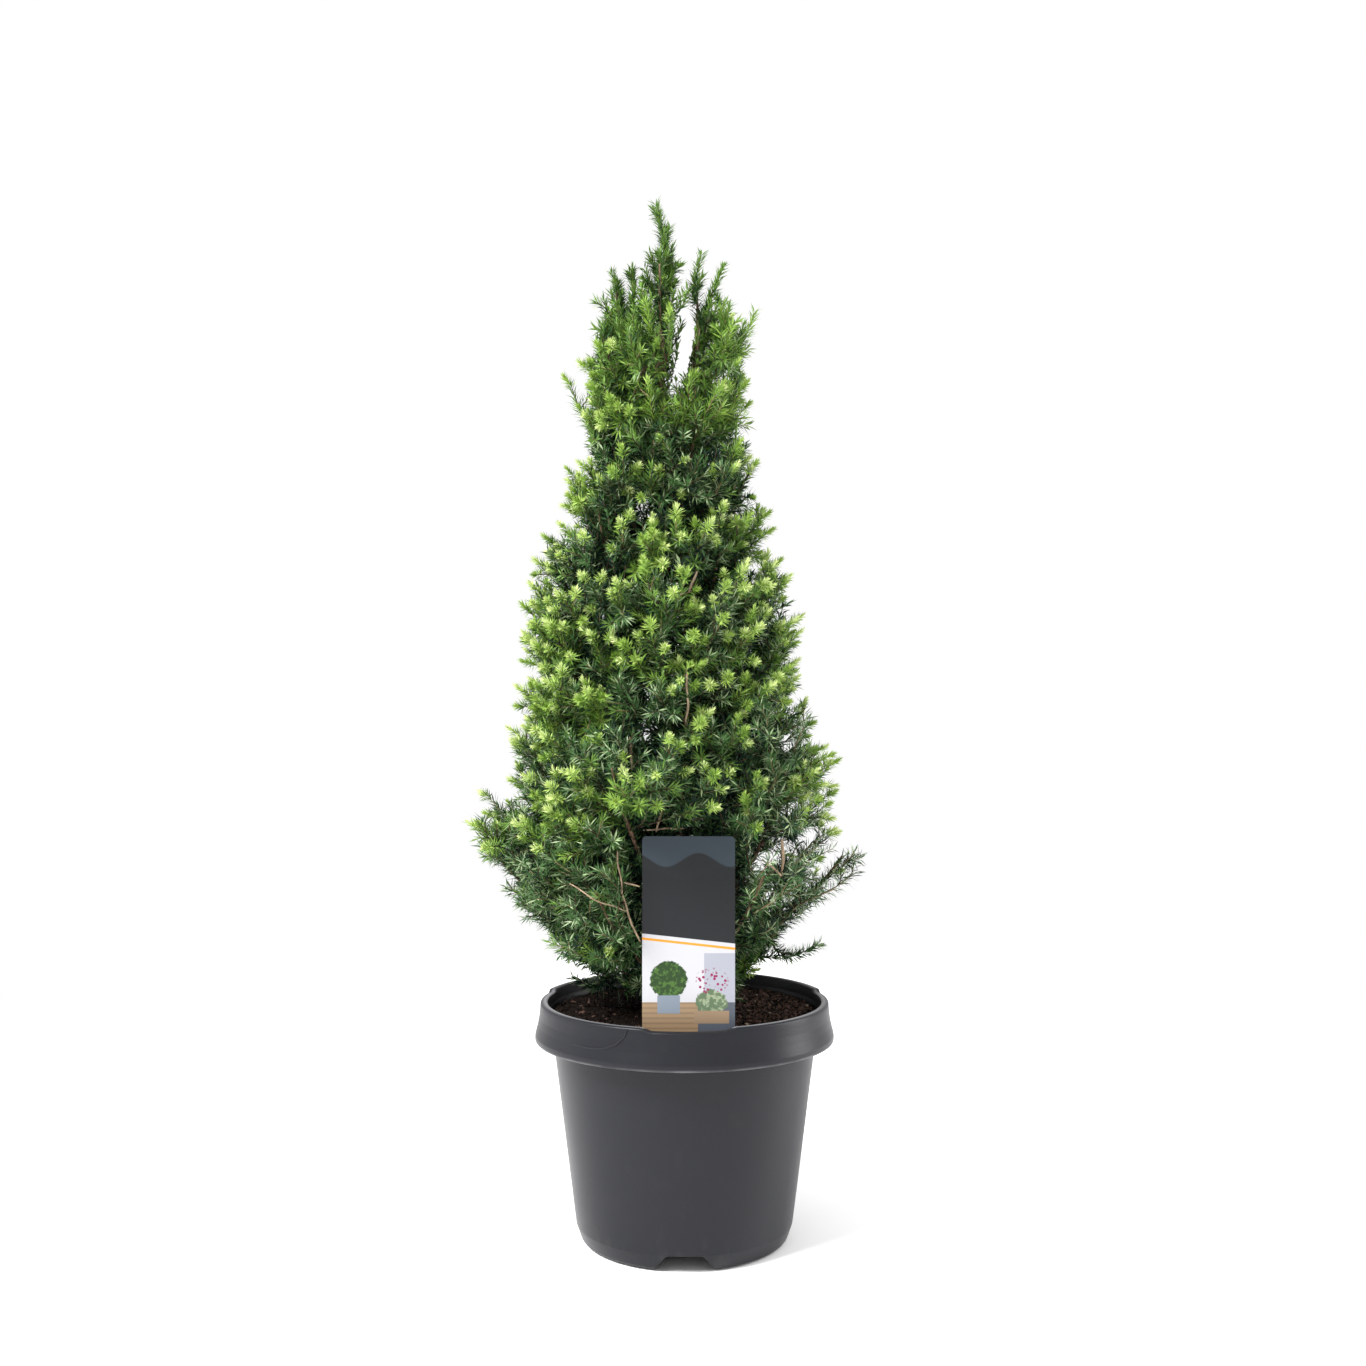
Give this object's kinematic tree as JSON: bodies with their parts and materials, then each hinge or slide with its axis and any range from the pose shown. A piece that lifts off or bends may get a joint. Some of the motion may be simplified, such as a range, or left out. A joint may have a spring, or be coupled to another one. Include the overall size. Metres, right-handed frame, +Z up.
{
  "type": "potted dwarf white spruce",
  "caption": "Dense cone-shaped dwarf white spruce with bright new growth, in a round dark grey plastic nursery pot with a stick-in plant card.",
  "frame": {"origin": "on the ground, under the middle of the whole plant's width and depth; the pot's own axis stands 13.2 mm to the +X side of it, because the crown reaches further to the -X side", "axes": "+Z up; +Y from the front, where the card is, to the back; +X to the right as seen from the front"},
  "size_m": [0.2746, 0.2573, 0.7285],
  "materials": {
    "pot_plastic": "moulded anthracite plastic with a soft sheen",
    "potting_soil": "moist dark brown potting soil with bark chips",
    "card_print": "printed plastic card, satin",
    "bark": "rough tan-brown bark",
    "foliage": "short needles, dark green inside and yellow-green at the new tips"
  },
  "bodies": {
    "root": {"pot": "pot_plastic", "root_ball": "potting_soil", "plant_card": "card_print", "trunk": "bark", "bough_1_1": "bark", "bough_1_2": "bark", "bough_1_3": "bark", "bough_1_4": "bark", "bough_1_5": "bark", "bough_1_6": "bark", "bough_2_1": "bark", "bough_2_2": "bark", "bough_2_3": "bark", "bough_2_4": "bark", "bough_2_5": "bark", "bough_3_1": "bark", "bough_3_2": "bark", "bough_3_3": "bark", "bough_3_4": "bark", "bough_3_5": "bark", "bough_4_1": "bark", "bough_4_2": "bark", "bough_4_3": "bark", "bough_4_4": "bark", "bough_5_1": "bark", "bough_5_2": "bark", "bough_5_3": "bark", "bough_6_1": "bark", "bough_6_2": "bark", "bough_6_3": "bark", "bough_6_4": "bark", "foliage_1_1": "foliage", "foliage_1_2": "foliage", "foliage_1_3": "foliage", "foliage_1_4": "foliage", "foliage_1_5": "foliage", "foliage_1_6": "foliage", "foliage_2_1": "foliage", "foliage_2_2": "foliage", "foliage_2_3": "foliage", "foliage_2_4": "foliage", "foliage_2_5": "foliage", "foliage_3_1": "foliage", "foliage_3_2": "foliage", "foliage_3_3": "foliage", "foliage_3_4": "foliage", "foliage_3_5": "foliage", "foliage_4_1": "foliage", "foliage_4_2": "foliage", "foliage_4_3": "foliage", "foliage_4_4": "foliage", "foliage_5_1": "foliage", "foliage_5_2": "foliage", "foliage_5_3": "foliage", "foliage_6_1": "foliage", "foliage_6_2": "foliage", "foliage_6_3": "foliage", "foliage_6_4": "foliage", "foliage_leader": "foliage"}
  },
  "joints": []
}
